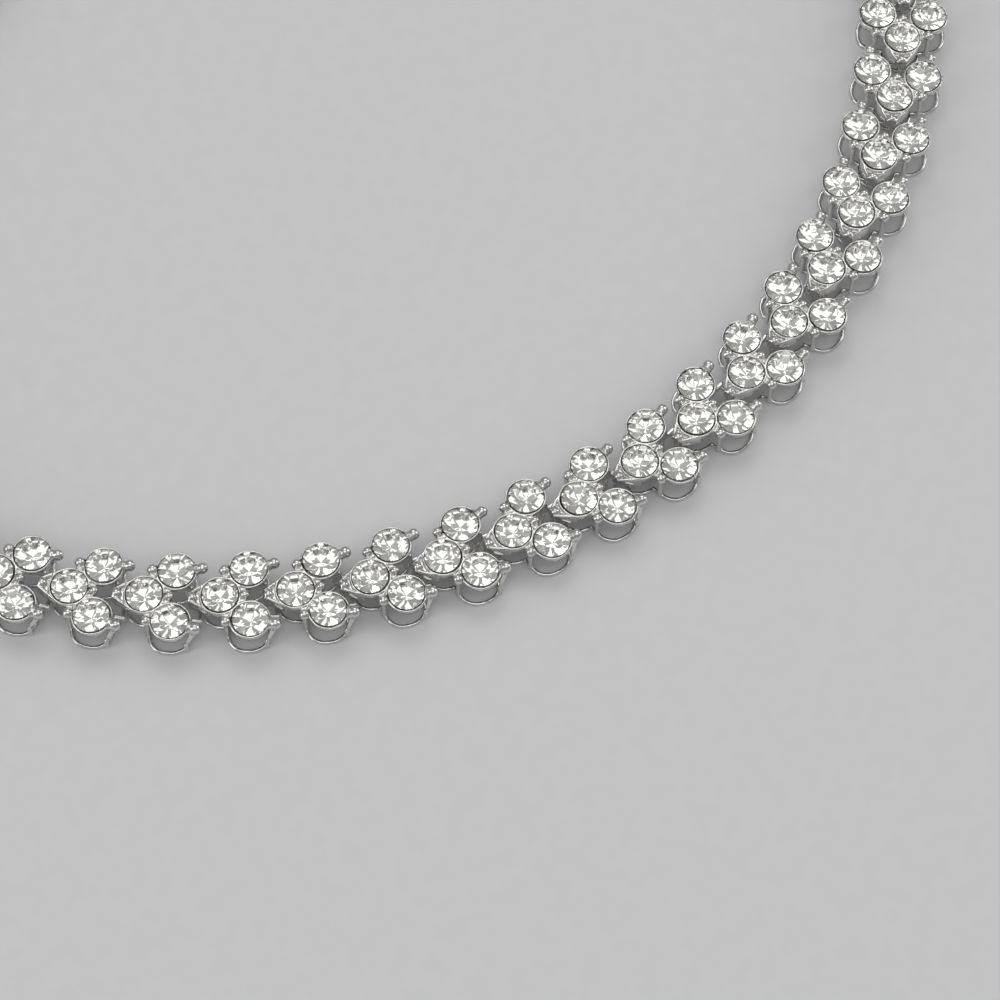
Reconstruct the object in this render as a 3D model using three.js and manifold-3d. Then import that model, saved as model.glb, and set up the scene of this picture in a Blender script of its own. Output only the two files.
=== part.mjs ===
// A rhinestone bracelet laid flat in a closed oval: cast links of three round stones each, hooked one
// into the next, and a plain box clasp. Units are millimetres, +Z is up and Z = 0 is the table.

import * as THREE from 'three';
import { mergeVertices } from 'three/addons/utils/BufferGeometryUtils.js';
import Module from 'manifold-3d';

// ---------------------------------------------------------------- driving dimensions

const LINK_COUNT = 44;
const LINK_PITCH = 4.24; // from one hinge to the next
const CLASP_LENGTH = 11.44; // between the hinges on either side of the clasp

const FRONT_STONE_SPACING = 3.1; // between the two stones side by side at a link's front
const FRONT_STONES_X = 2.94; // from a link's rear hinge to the line of its front stones
const MIDDLE_STONE_X = 1.3; // from a link's rear hinge to its single stone

const CUP_RADIUS = 1.18; // outside of the bezel round each stone
const CUP_BOTTOM = 1.3;
const CUP_TOP = 2.16;
const GIRDLE_RADIUS = 1.03; // a stone's widest part, just above its bezel
const GIRDLE_TOP = 2.22;
const TABLE_RADIUS = 0.54; // flat top facet of a stone
const STONE_TOP = 2.52;
const STONE_SIDES = 8;

const NOTCH_PRONG = { x: 2.7, y: 0, radius: 0.27 }; // between the front stones
const SIDE_PRONG = { x: 1.58, y: 1.58, radius: 0.31 }; // in the crook behind each front stone
const FRONT_PRONG = { x: 4.36, y: 1.86, radius: 0.34 }; // splayed out ahead of each front stone
const PRONG_SIDES = 5;
const PRONG_BOTTOM = 1.3;
const PRONG_TOP = 2.42;

const GALLERY_TOP = 1.4; // the open frame of posts and lower wire, here as its closed outline
const HINGE_BOTTOM = 0.5;
const HINGE_TOP = 0.95;
const HINGE_HALF_WIDTH = 1.02;
const HINGE_WALL = 0.3; // width of each lug, and of the bar between them
const LUG_TOP = 1.08;
const LUG_REACH = 0.38; // from the hinge to a lug's tip

const TONGUE_TIP_X = -0.56; // the rear tongue reaches past its own hinge by this much
const TONGUE_TIP_HALF_WIDTH = 0.22;
const TONGUE_ROOT = { x: 0.7, halfWidth: 1.0 }; // in the side of the single stone's cup
const CLASP_TONGUE_ROOT = { x: 1.9, halfWidth: 1.2 };
const TONGUE_BOTTOM = 1.3;
const TONGUE_TOP = CUP_TOP;
const HOOK_THICKNESS = 0.26; // the hook hangs from the tongue's tip, behind the hinge bar

const CLASP_WIDTH = 4.6;
const CLASP_TOP = 2.2;
const CLASP_CORNER = 0.9;
const CLASP_BEVEL = 0.25;
const CLASP_END_GAP = 1.55; // from each hinge to the clasp's box

const WIDE_RADIUS = 41.7; // the two long sides of the oval
const WIDE_TURN = 104; // degrees
const END_TURN = 180 - WIDE_TURN; // the two ends of the oval

// ---------------------------------------------------------------- the oval route

const radians = THREE.MathUtils.degToRad;
const bandLength = LINK_COUNT * LINK_PITCH + CLASP_LENGTH;
const endRadius = (bandLength / 2 - WIDE_RADIUS * radians(WIDE_TURN)) / radians(END_TURN);
const halfWidth = WIDE_RADIUS - (WIDE_RADIUS - endRadius) * Math.cos(radians(WIDE_TURN / 2));

const route = [
  { radius: WIDE_RADIUS, turn: WIDE_TURN / 2 },
  { radius: endRadius, turn: END_TURN },
  { radius: WIDE_RADIUS, turn: WIDE_TURN },
  { radius: endRadius, turn: END_TURN },
  { radius: WIDE_RADIUS, turn: WIDE_TURN / 2 },
];

// The route starts at the middle of the far side, under the clasp, and turns left all the way round.
function pointAlong(distance) {
  const point = new THREE.Vector2(0, halfWidth);
  let heading = Math.PI;
  let left = distance;
  for (const { radius, turn } of route) {
    const swept = Math.min(left / radius, radians(turn));
    const centre = new THREE.Vector2(-Math.sin(heading), Math.cos(heading))
      .multiplyScalar(radius)
      .add(point);
    point.rotateAround(centre, swept);
    heading += swept;
    left -= swept * radius;
  }
  return point;
}

// A rigid piece of the band lies on the straight line between its two hinges.
function layBetween(mesh, fromDistance, toDistance) {
  const rear = pointAlong((fromDistance + bandLength) % bandLength);
  const front = pointAlong(toDistance);
  mesh.position.set(rear.x, rear.y, 0);
  mesh.rotation.z = Math.atan2(front.y - rear.y, front.x - rear.x);
}

// ---------------------------------------------------------------- solids

const wasm = await Module();
wasm.setup();

function toSolid(geometry) {
  const bare = geometry.clone();
  bare.deleteAttribute('normal');
  bare.deleteAttribute('uv');
  const merged = mergeVertices(bare, 1e-4);
  return new wasm.Manifold(
    new wasm.Mesh({
      numProp: 3,
      vertProperties: new Float32Array(merged.attributes.position.array),
      triVerts: new Uint32Array(merged.index.array),
    }),
  );
}

function toGeometry(solid) {
  const { vertProperties, triVerts } = solid.getMesh();
  const geometry = new THREE.BufferGeometry();
  geometry.setAttribute('position', new THREE.BufferAttribute(vertProperties, 3));
  geometry.setIndex(new THREE.BufferAttribute(triVerts, 1));
  geometry.computeVertexNormals();
  return geometry;
}

function join(geometries) {
  return toGeometry(geometries.map(toSolid).reduce((whole, piece) => whole.add(piece)));
}

// A flat plate or prism of the outline, from one height to another.
function prism(corners, bottom, top) {
  const outline = new THREE.Shape(corners.map(([x, y]) => new THREE.Vector2(x, y)));
  const depth = top - bottom;
  return new THREE.ExtrudeGeometry(outline, { depth, bevelEnabled: false }).translate(0, 0, bottom);
}

// ---------------------------------------------------------------- one link

// A stone in its bezel cup. The flats of the eight sides lie on the true radius.
function setting(x, y) {
  const corner = 1 / Math.cos(Math.PI / STONE_SIDES);
  const profile = [
    [0, CUP_BOTTOM],
    [CUP_RADIUS, CUP_BOTTOM],
    [CUP_RADIUS, CUP_TOP],
    [GIRDLE_RADIUS, GIRDLE_TOP],
    [TABLE_RADIUS, STONE_TOP],
    [0, STONE_TOP],
  ].map(([radius, z]) => new THREE.Vector2(radius * corner, z));
  return new THREE.LatheGeometry(profile, STONE_SIDES)
    .rotateX(Math.PI / 2)
    .rotateZ(Math.PI / STONE_SIDES)
    .translate(x, y, 0);
}

// A bead on its post. The flats of its few sides lie on the true radius.
function prong({ x, y, radius }) {
  const corner = radius / Math.cos(Math.PI / PRONG_SIDES);
  const height = PRONG_TOP - PRONG_BOTTOM;
  return new THREE.CylinderGeometry(corner, corner, height, PRONG_SIDES)
    .rotateX(Math.PI / 2)
    .translate(x, y, PRONG_BOTTOM + height / 2);
}

const mirrored = (place) => [place, { ...place, y: -place.y }];

// The frame under the cups stands on the table. Its rear edge clears the hinge bar, its two lobes lie a
// little behind the front stones, and the next link's rear end nests in the deep notch at its front.
function gallery() {
  const oneSide = [
    { x: 0.78, y: 0.6 }, // rear edge, ahead of the hinge bar
    { x: 1.35, y: 1.5 }, // post in the crook behind a front stone
    { x: 2.0, y: 2.4 },
    { x: 3.4, y: 2.4 },
    { x: 4.3, y: 1.8 }, // front post
    { x: 2.75, y: 0.3 }, // post between the front stones
  ];
  const left = oneSide.map(({ x, y }) => [x, y]);
  const right = oneSide.map(({ x, y }) => [x, -y]).reverse();
  return prism([...right, ...left], 0, GALLERY_TOP);
}

// A tapered plate that runs back over the neighbour's hinge bar, with a hook at its tip.
function tongue(root) {
  const tip = TONGUE_TIP_HALF_WIDTH;
  const hookX = TONGUE_TIP_X + HOOK_THICKNESS;
  const plate = [
    [TONGUE_TIP_X, -tip],
    [root.x, -root.halfWidth],
    [root.x, root.halfWidth],
    [TONGUE_TIP_X, tip],
  ];
  const hook = [
    [TONGUE_TIP_X, -tip],
    [hookX, -tip],
    [hookX, tip],
    [TONGUE_TIP_X, tip],
  ];
  return [prism(plate, TONGUE_BOTTOM, TONGUE_TOP), prism(hook, HINGE_BOTTOM, TONGUE_TOP)];
}

// Two lugs at the front with a bar across their ends, which the next tongue hooks over.
function hinge(rootX, hingeX) {
  const outside = HINGE_HALF_WIDTH;
  const inside = HINGE_HALF_WIDTH - HINGE_WALL;
  const front = hingeX + HINGE_WALL;
  const corners = [
    [rootX, -outside],
    [front, -outside],
    [front, outside],
    [rootX, outside],
    [rootX, inside],
    [hingeX, inside],
    [hingeX, -inside],
    [rootX, -inside],
  ];
  const lugs = [-outside, inside].map((y) => {
    const tip = hingeX + LUG_REACH;
    const sides = [
      [rootX, y],
      [tip, y],
      [tip, y + HINGE_WALL],
      [rootX, y + HINGE_WALL],
    ];
    return prism(sides, HINGE_BOTTOM, LUG_TOP);
  });
  return [prism(corners, HINGE_BOTTOM, HINGE_TOP), ...lugs];
}

function linkGeometry() {
  const side = FRONT_STONE_SPACING / 2;
  return join([
    gallery(),
    setting(MIDDLE_STONE_X, 0),
    setting(FRONT_STONES_X, side),
    setting(FRONT_STONES_X, -side),
    ...tongue(TONGUE_ROOT),
    ...[NOTCH_PRONG, ...mirrored(SIDE_PRONG), ...mirrored(FRONT_PRONG)].map(prong),
    ...hinge(FRONT_STONES_X, LINK_PITCH),
  ]);
}

// ---------------------------------------------------------------- the clasp

function claspGeometry() {
  const lowX = CLASP_END_GAP + CLASP_BEVEL + CLASP_CORNER;
  const highX = CLASP_LENGTH - lowX;
  const highY = CLASP_WIDTH / 2 - CLASP_BEVEL - CLASP_CORNER;
  const quarter = Math.PI / 2;
  const outline = new THREE.Shape()
    .absarc(highX, highY, CLASP_CORNER, 0, quarter)
    .absarc(lowX, highY, CLASP_CORNER, quarter, 2 * quarter)
    .absarc(lowX, -highY, CLASP_CORNER, 2 * quarter, 3 * quarter)
    .absarc(highX, -highY, CLASP_CORNER, 3 * quarter, 4 * quarter);
  const box = new THREE.ExtrudeGeometry(outline, {
    depth: CLASP_TOP - 2 * CLASP_BEVEL,
    bevelThickness: CLASP_BEVEL,
    bevelSize: CLASP_BEVEL,
    bevelSegments: 1,
    curveSegments: 4,
  }).translate(0, 0, CLASP_BEVEL);
  const middle = CLASP_LENGTH / 2;
  return join([box, ...tongue(CLASP_TONGUE_ROOT), ...hinge(middle, CLASP_LENGTH)]);
}

// ---------------------------------------------------------------- assembly

// Bright rhodium-plated casting.
const platedMetal = new THREE.MeshStandardMaterial({ color: 0xd9dbdd, roughness: 0.22, metalness: 1 });

const bracelet = new THREE.Group();

const clasp = new THREE.Mesh(claspGeometry(), platedMetal);
clasp.name = 'clasp';
layBetween(clasp, -CLASP_LENGTH / 2, CLASP_LENGTH / 2);
bracelet.add(clasp);

const oneLink = linkGeometry();
for (let number = 1; number <= LINK_COUNT; number += 1) {
  const link = new THREE.Mesh(oneLink, platedMetal);
  link.name = `link_${String(number).padStart(2, '0')}`;
  const rearHinge = CLASP_LENGTH / 2 + (number - 1) * LINK_PITCH;
  layBetween(link, rearHinge, rearHinge + LINK_PITCH);
  bracelet.add(link);
}

// The origin is the middle of the whole bracelet, on the table.
const middle = new THREE.Box3().setFromObject(bracelet, true).getCenter(new THREE.Vector3());
bracelet.position.set(-middle.x, -middle.y, 0);

export default bracelet;
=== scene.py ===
"""The looks of the rhinestone bracelet: cast and plated links, foiled stones, a clasp and the studio.

Shapes are worked out in millimetres, in a link's own frame: its rear hinge is the origin, +X runs
forward along the band and Z = 0 is the table. They are turned into metres when a mesh is finished.
"""

import math
import random

import bmesh
import bpy
from mathutils import Euler, Matrix, Vector, noise


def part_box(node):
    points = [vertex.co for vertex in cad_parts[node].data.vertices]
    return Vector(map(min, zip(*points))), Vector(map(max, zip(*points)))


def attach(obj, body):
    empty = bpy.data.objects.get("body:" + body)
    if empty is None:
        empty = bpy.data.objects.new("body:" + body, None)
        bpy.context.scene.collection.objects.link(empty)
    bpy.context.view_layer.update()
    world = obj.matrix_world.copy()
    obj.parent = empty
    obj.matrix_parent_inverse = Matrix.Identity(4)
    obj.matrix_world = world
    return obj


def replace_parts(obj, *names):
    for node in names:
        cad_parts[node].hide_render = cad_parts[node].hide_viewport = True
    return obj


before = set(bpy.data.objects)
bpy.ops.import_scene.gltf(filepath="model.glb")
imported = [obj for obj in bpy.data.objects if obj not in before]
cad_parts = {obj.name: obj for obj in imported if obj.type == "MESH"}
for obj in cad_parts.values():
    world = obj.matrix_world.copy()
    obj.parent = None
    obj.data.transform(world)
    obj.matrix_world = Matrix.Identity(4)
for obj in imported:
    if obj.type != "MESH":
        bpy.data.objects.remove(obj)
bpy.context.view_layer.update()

MM = 0.001

# ---------------------------------------------------------------- driving dimensions, as in the CAD

LINK_COUNT = 44
LINK_PITCH = 4.24
CLASP_LENGTH = 11.44

FRONT_STONES = ((2.94, 1.55), (2.94, -1.55))
MIDDLE_STONE = (1.30, 0.0)
STONES = (MIDDLE_STONE, *FRONT_STONES)

WIDE_RADIUS = 41.7
WIDE_TURN = math.radians(104)
END_TURN = math.pi - WIDE_TURN

# ---------------------------------------------------------------- the oval that the band lies on

BAND_LENGTH = LINK_COUNT * LINK_PITCH + CLASP_LENGTH
END_RADIUS = (BAND_LENGTH / 2 - WIDE_RADIUS * WIDE_TURN) / END_TURN
HALF_WIDTH = WIDE_RADIUS - (WIDE_RADIUS - END_RADIUS) * math.cos(WIDE_TURN / 2)

ROUTE = (
    (WIDE_RADIUS, WIDE_TURN / 2),
    (END_RADIUS, END_TURN),
    (WIDE_RADIUS, WIDE_TURN),
    (END_RADIUS, END_TURN),
    (WIDE_RADIUS, WIDE_TURN / 2),
)


def point_along(distance):
    """The point that far along the oval, which starts under the clasp and turns left."""
    point = Vector((0, HALF_WIDTH))
    heading = math.pi
    left = distance % BAND_LENGTH
    for radius, turn in ROUTE:
        swept = min(left / radius, turn)
        centre = point + radius * Vector((-math.sin(heading), math.cos(heading)))
        point = centre + Matrix.Rotation(swept, 2) @ (point - centre)
        heading += swept
        left -= swept * radius
    return point


CLASP_TIPS = (-0.56, CLASP_LENGTH + 0.38)  # the ends of the CAD's clasp: its tongue's and its lugs'


def centring():
    """How far the CAD moved the band to centre it, from where the clasp's box is."""
    low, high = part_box("clasp")
    middle = (low + high) / 2 / MM
    tongue_tip, lug_tip = CLASP_TIPS
    rear = point_along(-CLASP_LENGTH / 2)
    return middle.to_2d() - (rear - Vector(((tongue_tip + lug_tip) / 2, 0)))


CENTRING = centring()


def laid_between(rear_distance, front_distance):
    """The place of a rigid piece of the band: on the straight line between its two hinges."""
    rear = point_along(rear_distance) + CENTRING
    front = point_along(front_distance) + CENTRING
    heading = math.atan2(front.y - rear.y, front.x - rear.x)
    return Matrix.Translation((rear * MM).to_3d()) @ Matrix.Rotation(heading, 4, "Z")


YAW_PLAY = math.radians(2.6)  # how far a link may swing in its loose hinges


def swung(yaw):
    """A small swing of a link about its own middle."""
    middle = Matrix.Translation((LINK_PITCH / 2 * MM, 0, 0))
    return middle @ Matrix.Rotation(yaw, 4, "Z") @ middle.inverted()


# ---------------------------------------------------------------- solids, added to a bmesh


def add_lathe(bm, profile, place, segments):
    """A closed profile of (radius, height) points turned round an upright axis at place."""
    rings = []
    for step in range(segments):
        angle = math.tau * step / segments
        spoke = Vector((math.cos(angle), math.sin(angle)))
        rings.append([bm.verts.new((*(Vector(place) + r * spoke), z)) for r, z in profile])
    for here, after in zip(rings, rings[1:] + rings[:1]):
        for low, high in zip(range(len(profile)), [*range(1, len(profile)), 0]):
            bm.faces.new((here[low], after[low], after[high], here[high]))


def add_ball(bm, centre, radius):
    """A round bead."""
    place = Matrix.Translation(centre)
    bmesh.ops.create_uvsphere(bm, u_segments=20, v_segments=12, radius=radius, matrix=place)


def add_tube(bm, points, radii, closed=False, sides=12):
    """A round bar through the points. radii has one radius for each point."""
    points = [Vector(p) for p in points]
    count = len(points)
    rings = []
    for index, point in enumerate(points):
        before = points[index - 1] if closed or index > 0 else point
        after = points[(index + 1) % count] if closed or index < count - 1 else point
        along = (after - before).normalized()
        level = Vector((0, 0, 1)) if abs(along.z) < 0.9 else Vector((1, 0, 0))
        side = along.cross(level).normalized()
        up = side.cross(along)
        ring = []
        for step in range(sides):
            angle = math.tau * step / sides
            out = math.cos(angle) * side + math.sin(angle) * up
            ring.append(bm.verts.new(point + radii[index] * out))
        rings.append(ring)
    pairs = list(zip(rings, rings[1:]))
    if closed:
        pairs.append((rings[-1], rings[0]))
    else:
        bm.faces.new(rings[0])
        bm.faces.new(reversed(rings[-1]))
    for here, after in pairs:
        for step in range(sides):
            beside = (step + 1) % sides
            bm.faces.new((here[step], after[step], after[beside], here[beside]))


def add_prism(bm, outline, bottom, top):
    """An upright slab of the outline, whose corners run counter-clockwise."""
    low = [bm.verts.new((x, y, bottom)) for x, y in outline]
    high = [bm.verts.new((x, y, top)) for x, y in outline]
    bm.faces.new(reversed(low))
    bm.faces.new(high)
    for index in range(len(outline)):
        beside = (index + 1) % len(outline)
        bm.faces.new((low[index], low[beside], high[beside], high[index]))


def arc(centre, radius, start, end, steps):
    """Points on an arc, with its angles in degrees."""
    angles = [math.radians(start + (end - start) * step / steps) for step in range(steps + 1)]
    return [(centre[0] + radius * math.cos(a), centre[1] + radius * math.sin(a)) for a in angles]


# ---------------------------------------------------------------- one link's casting

BEZEL_PROFILE = (  # radius and height, from the foot of the wall up and over the rim
    (0.97, 1.62),
    (1.08, 1.60),
    (1.12, 1.85),
    (1.155, 2.02),
    (1.18, 2.10),
    (1.165, 2.15),
    (1.13, 2.17),
    (1.065, 2.155),
    (1.03, 2.08),
)
BEZEL_SIDES = 64

PRONG_HEIGHT = 2.09  # of the beads' centres
NOTCH_PRONG = (2.70, 0.0, 0.27)  # x, y and the bead's radius
SIDE_PRONG = (1.58, 1.58, 0.31)
FRONT_PRONG = (4.36, 1.86, 0.34)
FRONT_FOOT = (3.80, 2.30)
FRONT_NECK = ((1.02, 0.42), (1.16, 0.34), (1.32, 0.30))  # distance from the stone's centre, and radius
FRONT_NECK_DROP = 0.08

WIRE_RADIUS = 0.12
WIRE_HEIGHT = 0.13
LOBE_WIRE_RADIUS = 1.06
LOBE_WIRE_SETBACK = 0.25  # the wire's lobes lie this far behind the front stones
LOBE_WIRE_STRETCH = 0.2  # and are this much longer than they are wide
POST_RADIUS = 0.13
POST_FLARE = 0.4  # how much thicker a post is at its bead, as a share
POST_STEPS = 6
KNEE_HEIGHT = 1.45
SHIN_HEIGHT = 0.8  # below it a post is upright
FRONT_KNEE_BEND = 0.35
FOOT_RADIUS = 0.17

RAIL_ROOT = (0.69, 0.93)  # where the tongue's rails leave the rim of the rear bezel
RAIL_TIP = (-0.46, 0.17)
RAIL_ROOT_RADIUS = 0.06  # half of a rail's thickness, which grows towards the tip
RAIL_TIP_RADIUS = 0.12
RAIL_ROOT_HEIGHT = 2.08
RAIL_TIP_HEIGHT = 2.06
TONGUE_BOTTOM = 1.38
TONGUE_FLOOR = 1.90  # the sunken floor between the rails
TONGUE_FLOOR_ROOT = 0.6  # how far forward the floor runs
TONGUE_BEAD = (-0.24, 0, 2.06)
TONGUE_BEAD_RADIUS = 0.28
HOOK = ((-0.38, 1.9, 0.16), (-0.42, 1.4, 0.14), (-0.42, 0.75, 0.13), (-0.34, 0.60, 0.12))  # x, z, radius

LUG_SIDES = (0.76, 0.88, 1.0)  # y of a lug's inner side, its middle and its outer side
LUG_BOTTOM = 0.62
LUG_TOP = 1.04
LUG_SHOULDER = 0.1  # the lug's nose narrows from here, ahead of the pin
LUG_NOSE = 0.24
RISE_LENGTH = 0.5  # the part of a lug that goes up to what it hangs from
RISE_BOTTOM = 0.9
PIN_HEIGHT = 0.8
PIN_RADIUS = 0.13
PIN_HALF_LENGTH = 0.98
PIN_REACH = 0.15  # how far ahead of the next piece's origin the pin lies
LINK_LUG_ROOT = 3.45
LINK_RISE_TOP = 1.7

WEB_BOTTOM = 1.75
CROOK_WEB = ((1.35, 1.05), (1.55, 1.75), (2.05, 1.55), (2.15, 0.7))
CROOK_WEB_TOP = 2.06
NOTCH_WEB = ((2.2, -0.55), (2.72, -0.42), (2.88, 0.0), (2.72, 0.42), (2.2, 0.55))
NOTCH_WEB_TOP = 2.05


def lower_wire():
    """The wire that the link stands on, round the outside of its three lobes."""
    x, y = FRONT_STONES[0]
    x -= LOBE_WIRE_SETBACK
    front = arc((x + LOBE_WIRE_STRETCH, y), LOBE_WIRE_RADIUS, -90, 90, 18)
    side = arc((x, y), LOBE_WIRE_RADIUS, 90, 178, 9)
    rear = arc(MIDDLE_STONE, LOBE_WIRE_RADIUS, 76, 180, 12)
    left = front + side + rear
    right = [(x, -y) for x, y in reversed(left[:-1])]
    return [(x, y, WIRE_HEIGHT) for x, y in left + right]


def add_post(bm, top, foot, bend=1.0):
    """A post from a bead down to its foot knob on the lower wire.

    Its knee lies over the foot where bend is 1, and under the bead where bend is 0.
    """
    top, shin = Vector(top), Vector((*foot, SHIN_HEIGHT))
    knee = top.lerp(shin, bend).to_2d().to_3d() + Vector((0, 0, KNEE_HEIGHT))
    path = []
    radii = []
    for step in range(POST_STEPS + 1):
        along = step / POST_STEPS
        path.append(top.lerp(knee, along).lerp(knee.lerp(shin, along), along))
        radii.append(POST_RADIUS * (1 + POST_FLARE - POST_FLARE * along))
    add_tube(bm, [*path, (*foot, WIRE_HEIGHT)], [*radii, POST_RADIUS])
    add_ball(bm, (*foot, FOOT_RADIUS), FOOT_RADIUS)


def add_prong(bm, x, y, radius):
    """A bead tucked in beside the stones, on its post."""
    bead = (x, y, PRONG_HEIGHT)
    add_ball(bm, bead, radius)
    add_post(bm, bead, (x, y))


def add_front_prong(bm, side):
    """The splayed bead at a front stone's forward corner, on a neck from the rim."""
    x, y, radius = FRONT_PRONG
    bead = Vector((x, side * y, PRONG_HEIGHT))
    stone = Vector((FRONT_STONES[0][0], side * FRONT_STONES[0][1], PRONG_HEIGHT))
    outward = (bead - stone).normalized()
    add_ball(bm, bead, radius)
    drop = Vector((0, 0, FRONT_NECK_DROP))
    neck = [stone + reach * outward - drop for reach, _ in FRONT_NECK]
    add_tube(bm, neck, [thickness for _, thickness in FRONT_NECK])
    add_post(bm, bead, (FRONT_FOOT[0], side * FRONT_FOOT[1]), FRONT_KNEE_BEND)


def add_tongue(bm, root, floor_root_x):
    """The prow at a link's or the clasp's rear: two rails, a sunken floor, a bead and a hook below."""
    for side in (1, -1):
        start = Vector((root[0], side * root[1]))
        end = Vector((RAIL_TIP[0], side * RAIL_TIP[1]))
        across = (end - start).normalized().orthogonal()
        thin, thick = RAIL_ROOT_RADIUS * across, RAIL_TIP_RADIUS * across
        wall = [start - thin, end - thick, end + thick, start + thin]
        add_prism(bm, wall, TONGUE_BOTTOM, RAIL_TIP_HEIGHT)
        edge = [(*start, RAIL_ROOT_HEIGHT), (*end, RAIL_TIP_HEIGHT)]
        add_tube(bm, edge, [RAIL_ROOT_RADIUS, RAIL_TIP_RADIUS])
    floor = [
        (RAIL_TIP[0], -RAIL_TIP[1]),
        (root[0], -root[1]),
        (floor_root_x, -root[1]),
        (floor_root_x, root[1]),
        root,
        RAIL_TIP,
    ]
    add_prism(bm, floor, TONGUE_BOTTOM, TONGUE_FLOOR)
    add_ball(bm, TONGUE_BEAD, TONGUE_BEAD_RADIUS)
    add_tube(bm, [(x, 0, z) for x, z, _ in HOOK], [radius for _, _, radius in HOOK])


def add_hinge(bm, root_x, pin_x, rise_top):
    """Two lugs at the front and the pin between them, which the next link's hook goes over."""
    shoulder, nose = pin_x + LUG_SHOULDER, pin_x + LUG_NOSE
    for side in (1, -1):
        near, middle, far = (side * y for y in LUG_SIDES)
        lug = [(root_x, near), (shoulder, near), (nose, middle), (shoulder, far), (root_x, far)]
        add_prism(bm, lug, LUG_BOTTOM, LUG_TOP)
        front_x = root_x + RISE_LENGTH
        rise = [(root_x, near), (front_x, near), (front_x, far), (root_x, far)]
        add_prism(bm, rise, RISE_BOTTOM, rise_top)
    pin = [(pin_x, -PIN_HALF_LENGTH, PIN_HEIGHT), (pin_x, PIN_HALF_LENGTH, PIN_HEIGHT)]
    add_tube(bm, pin, [PIN_RADIUS, PIN_RADIUS])


def add_webs(bm):
    """Small sunken plates that fill the crooks between neighbouring bezels."""
    for side in (1, -1):
        add_prism(bm, [(x, side * y) for x, y in CROOK_WEB], WEB_BOTTOM, CROOK_WEB_TOP)
    add_prism(bm, NOTCH_WEB, WEB_BOTTOM, NOTCH_WEB_TOP)


def link_shells():
    """All the solids of a link's casting, which still overlap."""
    bm = bmesh.new()
    for place in STONES:
        add_lathe(bm, BEZEL_PROFILE, place, BEZEL_SIDES)
    add_webs(bm)
    add_prong(bm, *NOTCH_PRONG)
    x, y, radius = SIDE_PRONG
    for side in (1, -1):
        add_prong(bm, x, side * y, radius)
        add_front_prong(bm, side)
    wire = lower_wire()
    add_tube(bm, wire, [WIRE_RADIUS] * len(wire), closed=True)
    add_tongue(bm, RAIL_ROOT, TONGUE_FLOOR_ROOT)
    add_hinge(bm, LINK_LUG_ROOT, LINK_PITCH + PIN_REACH, LINK_RISE_TOP)
    return bm


# ---------------------------------------------------------------- the clasp

CLASP_LOW_X, CLASP_HIGH_X = 1.55, CLASP_LENGTH - 1.55
CLASP_HALF_WIDTH = 2.3
CLASP_TOP = 2.2
CLASP_CORNER = 1.1
CLASP_ROUNDING = 0.38  # of the long edges, top and bottom
CLASP_ROUNDING_STEPS = 6
CLASP_RAIL_ROOT = (1.9, 1.2)
CLASP_FLOOR_ROOT = 2.2
CLASP_LUG_ROOT = CLASP_HIGH_X - 0.4
CLASP_RISE_TOP = 1.2


def clasp_outline(inset):
    """The clasp's rounded rectangle, pulled in all round by inset."""
    radius = CLASP_CORNER - inset
    x_low, x_high = CLASP_LOW_X + CLASP_CORNER, CLASP_HIGH_X - CLASP_CORNER
    y = CLASP_HALF_WIDTH - CLASP_CORNER
    outline = []
    corners = (((x_high, y), 0), ((x_low, y), 90), ((x_low, -y), 180), ((x_high, -y), 270))
    for centre, start in corners:
        outline += arc(centre, radius, start, start + 90, 8)
    return outline


def clasp_shells():
    """The clasp's rounded block with its tongue and hinge, which still overlap."""
    bm = bmesh.new()
    levels = []
    for step in range(CLASP_ROUNDING_STEPS + 1):
        angle = math.radians(90 / CLASP_ROUNDING_STEPS * step)
        levels.append((CLASP_ROUNDING * (1 - math.cos(angle)), CLASP_ROUNDING * math.sin(angle)))
    heights = [(inset, CLASP_TOP - CLASP_ROUNDING + rise) for inset, rise in levels]
    depths = [(inset, CLASP_ROUNDING - rise) for inset, rise in reversed(levels)]
    rings = []
    for inset, z in depths + heights:
        rings.append([bm.verts.new((x, y, z)) for x, y in clasp_outline(inset)])
    bm.faces.new(reversed(rings[0]))
    bm.faces.new(rings[-1])
    for low, high in zip(rings, rings[1:]):
        for index in range(len(low)):
            beside = (index + 1) % len(low)
            bm.faces.new((low[index], low[beside], high[beside], high[index]))
    add_tongue(bm, CLASP_RAIL_ROOT, CLASP_FLOOR_ROOT)
    add_hinge(bm, CLASP_LUG_ROOT, CLASP_LENGTH + PIN_REACH, CLASP_RISE_TOP)
    return bm


# ---------------------------------------------------------------- casting the shells into one skin

LINK_VOXEL = 0.038
LINK_TRIANGLES = 17000
CLASP_VOXEL = 0.07
CLASP_TRIANGLES = 9000
CASTING_VARIATIONS = 4
CASTING_WOBBLES = ((0.02, 1.7), (0.007, 6.0))  # size, and how many to a millimetre
WOBBLE_STEP = 10  # how far apart in the noise two variations lie
CASTING_SEED = 7


def shown(mesh, name):
    """An object for a mesh, in the scene."""
    piece = bpy.data.objects.new(name, mesh)
    bpy.context.scene.collection.objects.link(piece)
    return piece


def with_modifiers(mesh, *modifiers):
    """A new mesh: the given one after these modifiers, each a type and its settings."""
    draft = shown(mesh, "draft")
    for kind, settings in modifiers:
        modifier = draft.modifiers.new(kind, kind)
        for key, value in settings.items():
            setattr(modifier, key, value)
    graph = bpy.context.evaluated_depsgraph_get()
    result = bpy.data.meshes.new_from_object(draft.evaluated_get(graph))
    bpy.data.objects.remove(draft)
    bpy.data.meshes.remove(mesh)
    return result


def triangle_count(mesh):
    return sum(len(face.vertices) - 2 for face in mesh.polygons)


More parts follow.
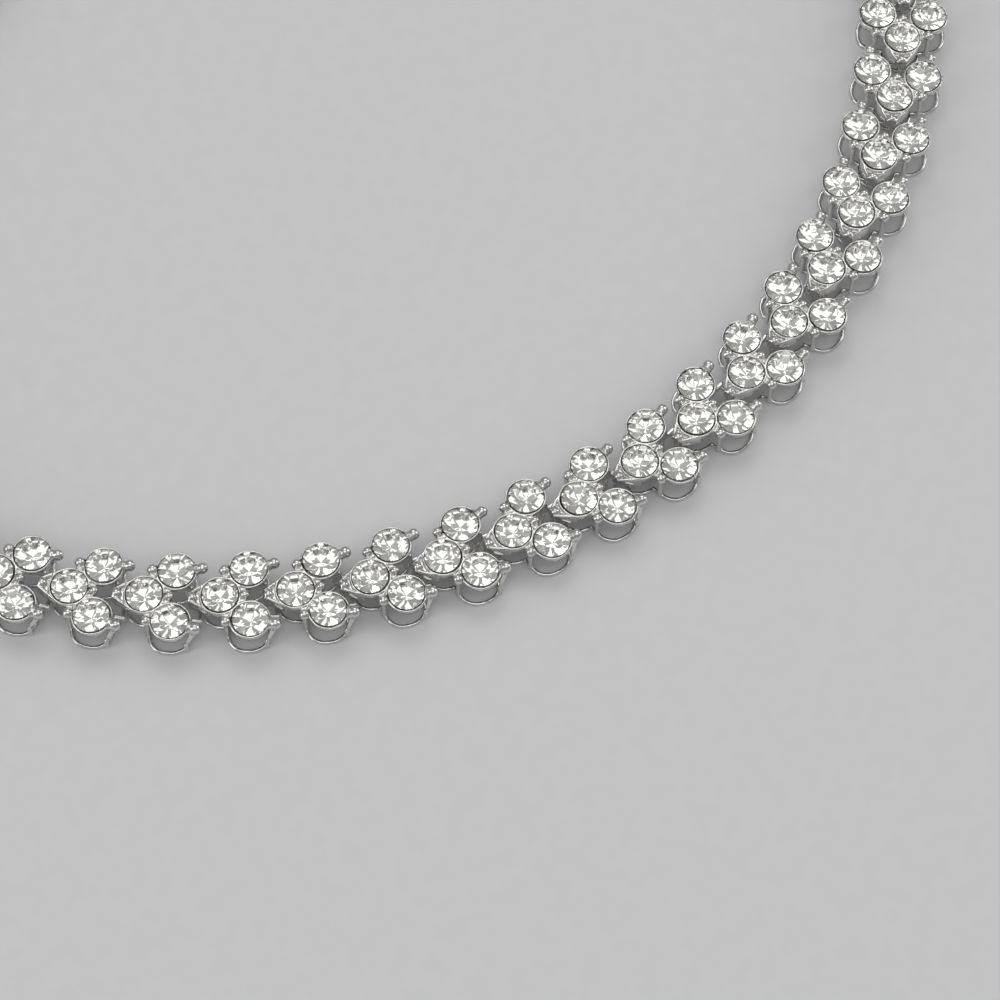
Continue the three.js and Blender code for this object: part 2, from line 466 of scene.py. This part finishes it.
def cast(bm, name, voxel, triangles, variation=0):
    """One smooth skin round all the shells, as molten metal joins them, in metres."""
    bmesh.ops.recalc_face_normals(bm, faces=bm.faces)
    mesh = bpy.data.meshes.new(name)
    bm.to_mesh(mesh)
    bm.free()
    fuse = ("REMESH", {"mode": "VOXEL", "voxel_size": voxel, "adaptivity": 0.0})
    soften = ("SMOOTH", {"factor": 0.5, "iterations": 3})
    mesh = with_modifiers(mesh, fuse, soften)
    thin = ("DECIMATE", {"ratio": min(1, triangles / triangle_count(mesh))})
    mesh = with_modifiers(mesh, thin)
    noise.seed_set(CASTING_SEED)  # without it, noise_vector takes its offsets from the clock
    wobble = Vector((WOBBLE_STEP * variation, 0, 0))
    for vertex in mesh.vertices:
        smooth = vertex.co.copy()
        for size, density in CASTING_WOBBLES:
            vertex.co += size * noise.noise_vector(smooth * density + wobble)
        vertex.co.z = max(vertex.co.z, 0)
    mesh.name = name
    mesh.transform(Matrix.Scale(MM, 4))
    mesh.shade_smooth()
    return mesh


# ---------------------------------------------------------------- stones

GIRDLE_RADIUS = 1.015
GIRDLE_TOP = 2.23
GIRDLE_BOTTOM = 2.19
TABLE_RADIUS = 0.56
TABLE_HEIGHT = 2.49
CULET_HEIGHT = 1.27
FACETS = 8
CROWN_STEEPER = math.radians(6)  # the crown's second row of facets, against its first
CROWN_INSET = 0.005  # of that row, from the girdle's edge
PAVILION_STEEPER = math.radians(3)  # the pavilion's second row, against its first
BLANK_SIDES = 32
BLANK_ALLOWANCE = 0.2  # how much longer the blank is than the stone

FOIL_GAP = 0.06  # straight down, from a pavilion to its foil back
FOIL_THICKNESS = 0.03
STONE_LEAN = 0.035  # how far a stone may lean each way, in radians
STONE_SHIFT = 0.035  # and sit off its place


def facet_planes():
    """Each facet of a stone as (point, outward normal, is it foiled)."""
    crown_tilt = math.atan2(TABLE_HEIGHT - GIRDLE_TOP, GIRDLE_RADIUS - TABLE_RADIUS)
    pavilion_tilt = math.atan2(GIRDLE_BOTTOM - CULET_HEIGHT, GIRDLE_RADIUS)
    half_step = math.pi / FACETS
    rows = (
        # turn, tilt, radius, height, foiled
        (0, crown_tilt, TABLE_RADIUS, TABLE_HEIGHT, False),
        (half_step, crown_tilt + CROWN_STEEPER, GIRDLE_RADIUS - CROWN_INSET, GIRDLE_TOP, False),
        (0, math.pi - pavilion_tilt, GIRDLE_RADIUS, GIRDLE_BOTTOM, True),
        (half_step, math.pi - pavilion_tilt - PAVILION_STEEPER, GIRDLE_RADIUS, GIRDLE_BOTTOM, True),
    )
    planes = [(Vector((0, 0, TABLE_HEIGHT)), Vector((0, 0, 1)), False)]
    for turn, tilt, radius, height, foiled in rows:
        for step in range(FACETS):
            angle = turn + math.tau * step / FACETS
            out = Vector((math.cos(angle), math.sin(angle), 0))
            normal = math.sin(tilt) * out + Vector((0, 0, math.cos(tilt)))
            planes.append((radius * out + Vector((0, 0, height)), normal, foiled))
    return planes


def cut_stone():
    """One stone, cut from a round blank by its facets. Foiled facets have material 1."""
    bm = bmesh.new()
    blank = Matrix.Translation((0, 0, (CULET_HEIGHT + TABLE_HEIGHT) / 2))
    bmesh.ops.create_cone(
        bm,
        cap_ends=True,
        segments=BLANK_SIDES,
        radius1=GIRDLE_RADIUS,
        radius2=GIRDLE_RADIUS,
        depth=TABLE_HEIGHT - CULET_HEIGHT + BLANK_ALLOWANCE,
        matrix=blank,
    )
    for point, normal, foiled in facet_planes():
        parts = bm.verts[:] + bm.edges[:] + bm.faces[:]
        cut = bmesh.ops.bisect_plane(
            bm, geom=parts, dist=1e-5, plane_co=point, plane_no=normal, clear_outer=True
        )
        edges = [part for part in cut["geom_cut"] if isinstance(part, bmesh.types.BMEdge)]
        for face in bmesh.ops.holes_fill(bm, edges=edges)["faces"]:
            face.material_index = 1 if foiled else 0
    bmesh.ops.recalc_face_normals(bm, faces=bm.faces)
    return bm


def foil_back(stone):
    """The lacquered outside of the foil: a thin closed shell just below the pavilion."""
    bm = stone.copy()
    crown = [face for face in bm.faces if face.material_index == 0]
    bmesh.ops.delete(bm, geom=crown, context="FACES")
    for vert in bm.verts:
        vert.co.z -= FOIL_GAP
    bmesh.ops.solidify(bm, geom=bm.faces[:], thickness=-FOIL_THICKNESS)
    bmesh.ops.recalc_face_normals(bm, faces=bm.faces)
    for face in bm.faces:
        face.material_index = 0
    return bm


def three_of(bm, name, seats):
    """Three copies of a small solid, one in each of a link's seats, as one mesh in metres."""
    whole = bmesh.new()
    single = bpy.data.meshes.new("single")
    bm.to_mesh(single)
    for seat in seats:
        first = len(whole.verts)
        whole.from_mesh(single)
        whole.verts.ensure_lookup_table()
        bmesh.ops.transform(whole, matrix=seat, verts=whole.verts[first:])
    mesh = bpy.data.meshes.new(name)
    whole.to_mesh(mesh)
    whole.free()
    bpy.data.meshes.remove(single)
    mesh.transform(Matrix.Scale(MM, 4))
    return mesh


def stone_seats(rng):
    """Where a link's stones sit. Each is turned at random and glued in a little askew."""
    seats = []
    centre = Vector((0, 0, GIRDLE_TOP))
    for x, y in STONES:
        lean_x = rng.uniform(-STONE_LEAN, STONE_LEAN)
        lean_y = rng.uniform(-STONE_LEAN, STONE_LEAN)
        lean = Euler((lean_x, lean_y, rng.uniform(0, math.tau)))
        shift_x = rng.uniform(-STONE_SHIFT, STONE_SHIFT)
        shift_y = rng.uniform(-STONE_SHIFT, STONE_SHIFT)
        shift = Vector((x + shift_x, y + shift_y, 0))
        turn = Matrix.Translation(centre) @ lean.to_matrix().to_4x4() @ Matrix.Translation(-centre)
        seats.append(Matrix.Translation(shift) @ turn)
    return seats


# ---------------------------------------------------------------- materials


def new_material(name, **values):
    """A material, its node tree and its shader, with these values on the shader's own sockets."""
    material = bpy.data.materials.new(name)
    material.use_nodes = True
    shader = material.node_tree.nodes["Principled BSDF"]
    for socket, value in values.items():
        shader.inputs[socket.replace("_", " ")].default_value = value
    return material, material.node_tree, shader


def add_noise(tree, scale, detail=3.0):
    """Noise that runs through the whole bracelet, in patterns per metre."""
    place = tree.nodes.new("ShaderNodeNewGeometry")
    texture = tree.nodes.new("ShaderNodeTexNoise")
    texture.inputs["Scale"].default_value = scale
    texture.inputs["Detail"].default_value = detail
    tree.links.new(place.outputs["Position"], texture.inputs["Vector"])
    return texture.outputs["Fac"]


def add_range(tree, value, low, high, from_low=0.3, from_high=0.7):
    """Stretches a value to low..high, by default from the middle of a noise's range."""
    node = tree.nodes.new("ShaderNodeMapRange")
    node.inputs["From Min"].default_value = from_low
    node.inputs["From Max"].default_value = from_high
    node.inputs["To Min"].default_value = low
    node.inputs["To Max"].default_value = high
    tree.links.new(value, node.inputs["Value"])
    return node.outputs["Result"]


def add_blend(tree, share, first, second):
    """A colour between two, by share."""
    node = tree.nodes.new("ShaderNodeMix")
    node.data_type = "RGBA"
    node.inputs["A"].default_value = (*first, 1)
    node.inputs["B"].default_value = (*second, 1)
    tree.links.new(share, node.inputs["Factor"])
    return node.outputs["Result"]


def add_bump(tree, height, distance, normal=None):
    """A bumped normal, on top of another where one is given."""
    node = tree.nodes.new("ShaderNodeBump")
    node.inputs["Distance"].default_value = distance
    tree.links.new(height, node.inputs["Height"])
    if normal:
        tree.links.new(normal, node.inputs["Normal"])
    return node.outputs["Normal"]


def plated_metal():
    """Bright rhodium plate over a casting: soft ripples, fine pits and slightly dull patches."""
    material, tree, shader = new_material("plated_metal", Metallic=1.0)
    patches = add_noise(tree, scale=700)
    share = add_range(tree, patches, 0, 1)
    tone = add_blend(tree, share, first=(0.69, 0.685, 0.67), second=(0.80, 0.795, 0.775))
    tree.links.new(tone, shader.inputs["Base Color"])
    dull = add_noise(tree, scale=2600, detail=5)
    tree.links.new(add_range(tree, dull, 0.10, 0.25), shader.inputs["Roughness"])
    ripple = add_bump(tree, add_noise(tree, scale=1800), distance=0.02 * MM)
    pits = add_bump(tree, add_noise(tree, scale=9000, detail=2), distance=0.003 * MM, normal=ripple)
    tree.links.new(pits, shader.inputs["Normal"])
    return material


def glass():
    """Clear leaded glass."""
    material, tree, shader = new_material("glass", Transmission_Weight=1.0, IOR=1.58, Roughness=0.0)
    shader.inputs["Base Color"].default_value = (0.98, 0.985, 1.0, 1)
    waves = add_noise(tree, scale=1500, detail=2)
    tree.links.new(add_bump(tree, waves, distance=0.003 * MM), shader.inputs["Normal"])
    return material


def silver_foil():
    """The mirror behind the pavilion, seen through the glass."""
    material, tree, shader = new_material("silver_foil", Metallic=1.0)
    shader.inputs["Base Color"].default_value = (0.95, 0.945, 0.92, 1)
    haze = add_noise(tree, scale=3000)
    tree.links.new(add_range(tree, haze, 0.02, 0.07), shader.inputs["Roughness"])
    return material


def foil_lacquer_and_painted_shade():
    """Brownish lacquer on the outside of the foil, painted near black: its darkness is painted shade
    from the hollow under the stones.
    """
    material, tree, shader = new_material("foil_lacquer_and_painted_shade", Metallic=0.55, Roughness=0.32)
    share = add_range(tree, add_noise(tree, scale=2200), 0, 1)
    # painted shade: both tones are far darker than the lacquer itself, to show it as it looks in the
    # shade under the stones
    tone = add_blend(tree, share, first=(0.055, 0.048, 0.042), second=(0.12, 0.10, 0.085))
    tree.links.new(tone, shader.inputs["Base Color"])
    return material


# ---------------------------------------------------------------- the bracelet


def add_piece(mesh, name, place, slot, *materials):
    mesh.transform(place)
    for material in materials:
        mesh.materials.append(material)
    piece = shown(mesh, name)
    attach(piece, "root")
    return piece


LAYING_SEED = 7


def build_clasp(metal):
    mesh = cast(clasp_shells(), "clasp_casting", CLASP_VOXEL, CLASP_TRIANGLES)
    place = laid_between(-CLASP_LENGTH / 2, CLASP_LENGTH / 2)
    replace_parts(add_piece(mesh, "clasp_casting", place, "plated_metal", metal), "clasp")


def build_links(metal):
    """Each link with its stones and foil backs, laid a little unevenly."""
    clear, mirror, lacquer_and_painted_shade = glass(), silver_foil(), foil_lacquer_and_painted_shade()
    castings = []
    for variation in range(CASTING_VARIATIONS):
        name = f"link_casting_{variation}"
        castings.append(cast(link_shells(), name, LINK_VOXEL, LINK_TRIANGLES, variation))
    stone = cut_stone()
    back = foil_back(stone)
    rng = random.Random(LAYING_SEED)
    for number in range(1, LINK_COUNT + 1):
        name = f"link_{number:02d}"
        rear = CLASP_LENGTH / 2 + (number - 1) * LINK_PITCH
        place = laid_between(rear, rear + LINK_PITCH) @ swung(rng.uniform(-YAW_PLAY, YAW_PLAY))
        casting = rng.choice(castings).copy()
        piece = add_piece(casting, name + "_casting", place, "plated_metal", metal)
        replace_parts(piece, name)
        seats = stone_seats(rng)
        stones = three_of(stone, name + "_stones", seats)
        add_piece(stones, name + "_stones", place, "stone", clear, mirror)
        # the foil backs get the near-black lacquer, whose darkness is painted shade
        backs = three_of(back, name + "_foil_backs", seats)
        add_piece(backs, name + "_foil_backs", place, "foil", lacquer_and_painted_shade)


plating = plated_metal()
build_clasp(plating)
build_links(plating)

# ---------------------------------------------------------------- floor, lights and camera

FLOOR_SIZE = 3.0
HORIZON_GLOW = 0.27
ZENITH_GLOW = 0.37
SOFTBOXES = (
    # name, place, width, height, radiance
    ("top_softbox", (-0.10, -0.17, 0.62), 0.55, 0.45, 0.90),
    ("back_softbox", (0.17, 0.25, 0.57), 0.40, 0.30, 1.4),
    ("left_softbox", (-0.55, 0.12, 0.28), 0.25, 0.45, 1.7),
    ("right_softbox", (0.50, -0.20, 0.28), 0.25, 0.40, 1.5),
)
VIEW_AZIMUTH = math.radians(35.3)  # the camera looks this far to the right of +Y
VIEW_PITCH = math.radians(63.55)  # and this far below the horizon
CAMERA_PLACE = Vector((-59.56, -98.65, 186.2)) * MM
LENS = 131.1
SENSOR_WIDTH = 36


def add_floor():
    """A plain pale tabletop."""
    bpy.ops.mesh.primitive_plane_add(size=FLOOR_SIZE)
    floor = bpy.context.object
    floor.name = "floor"
    material, tree, shader = new_material("pale_floor", Roughness=0.6)
    share = add_range(tree, add_noise(tree, scale=900), 0, 1)
    tone = add_blend(tree, share, first=(0.785, 0.785, 0.795), second=(0.805, 0.805, 0.815))
    tree.links.new(tone, shader.inputs["Base Color"])
    floor.data.materials.append(material)


def add_softbox(name, place, width, height, radiance):
    """A rectangular lamp aimed at the bracelet."""
    light = bpy.data.lights.new(name, "AREA")
    light.shape = "RECTANGLE"
    light.size = width
    light.size_y = height
    light.energy = radiance * math.pi * width * height
    lamp = bpy.data.objects.new(name, light)
    bpy.context.scene.collection.objects.link(lamp)
    lamp.location = place
    lamp.rotation_euler = (-Vector(place)).to_track_quat("-Z", "Y").to_euler()


def add_world():
    """The white studio round about, which is brighter overhead than at the horizon."""
    world = bpy.data.worlds.new("studio")
    world.use_nodes = True
    tree = world.node_tree
    split = tree.nodes.new("ShaderNodeSeparateXYZ")
    tree.links.new(tree.nodes.new("ShaderNodeTexCoord").outputs["Generated"], split.inputs["Vector"])
    background = tree.nodes["Background"]
    background.inputs["Color"].default_value = (1.0, 1.0, 1.0, 1)
    strength = add_range(tree, split.outputs["Z"], HORIZON_GLOW, ZENITH_GLOW, from_low=0.3, from_high=1)
    tree.links.new(strength, background.inputs["Strength"])
    bpy.context.scene.world = world


def add_camera():
    """The photo's viewpoint, fitted to the places of its stones."""
    camera = bpy.data.objects.new("camera", bpy.data.cameras.new("camera"))
    bpy.context.scene.collection.objects.link(camera)
    camera.data.sensor_width = SENSOR_WIDTH
    camera.data.lens = LENS
    camera.data.clip_start = 0.01
    camera.location = CAMERA_PLACE
    camera.rotation_euler = (math.pi / 2 - VIEW_PITCH, 0, -VIEW_AZIMUTH)
    bpy.context.scene.camera = camera


add_floor()
add_world()
for softbox in SOFTBOXES:
    add_softbox(*softbox)
add_camera()
bpy.context.scene.view_settings.view_transform = "Standard"
bpy.context.scene.cycles.glossy_bounces = 12  # light turns many times between a stone's facets
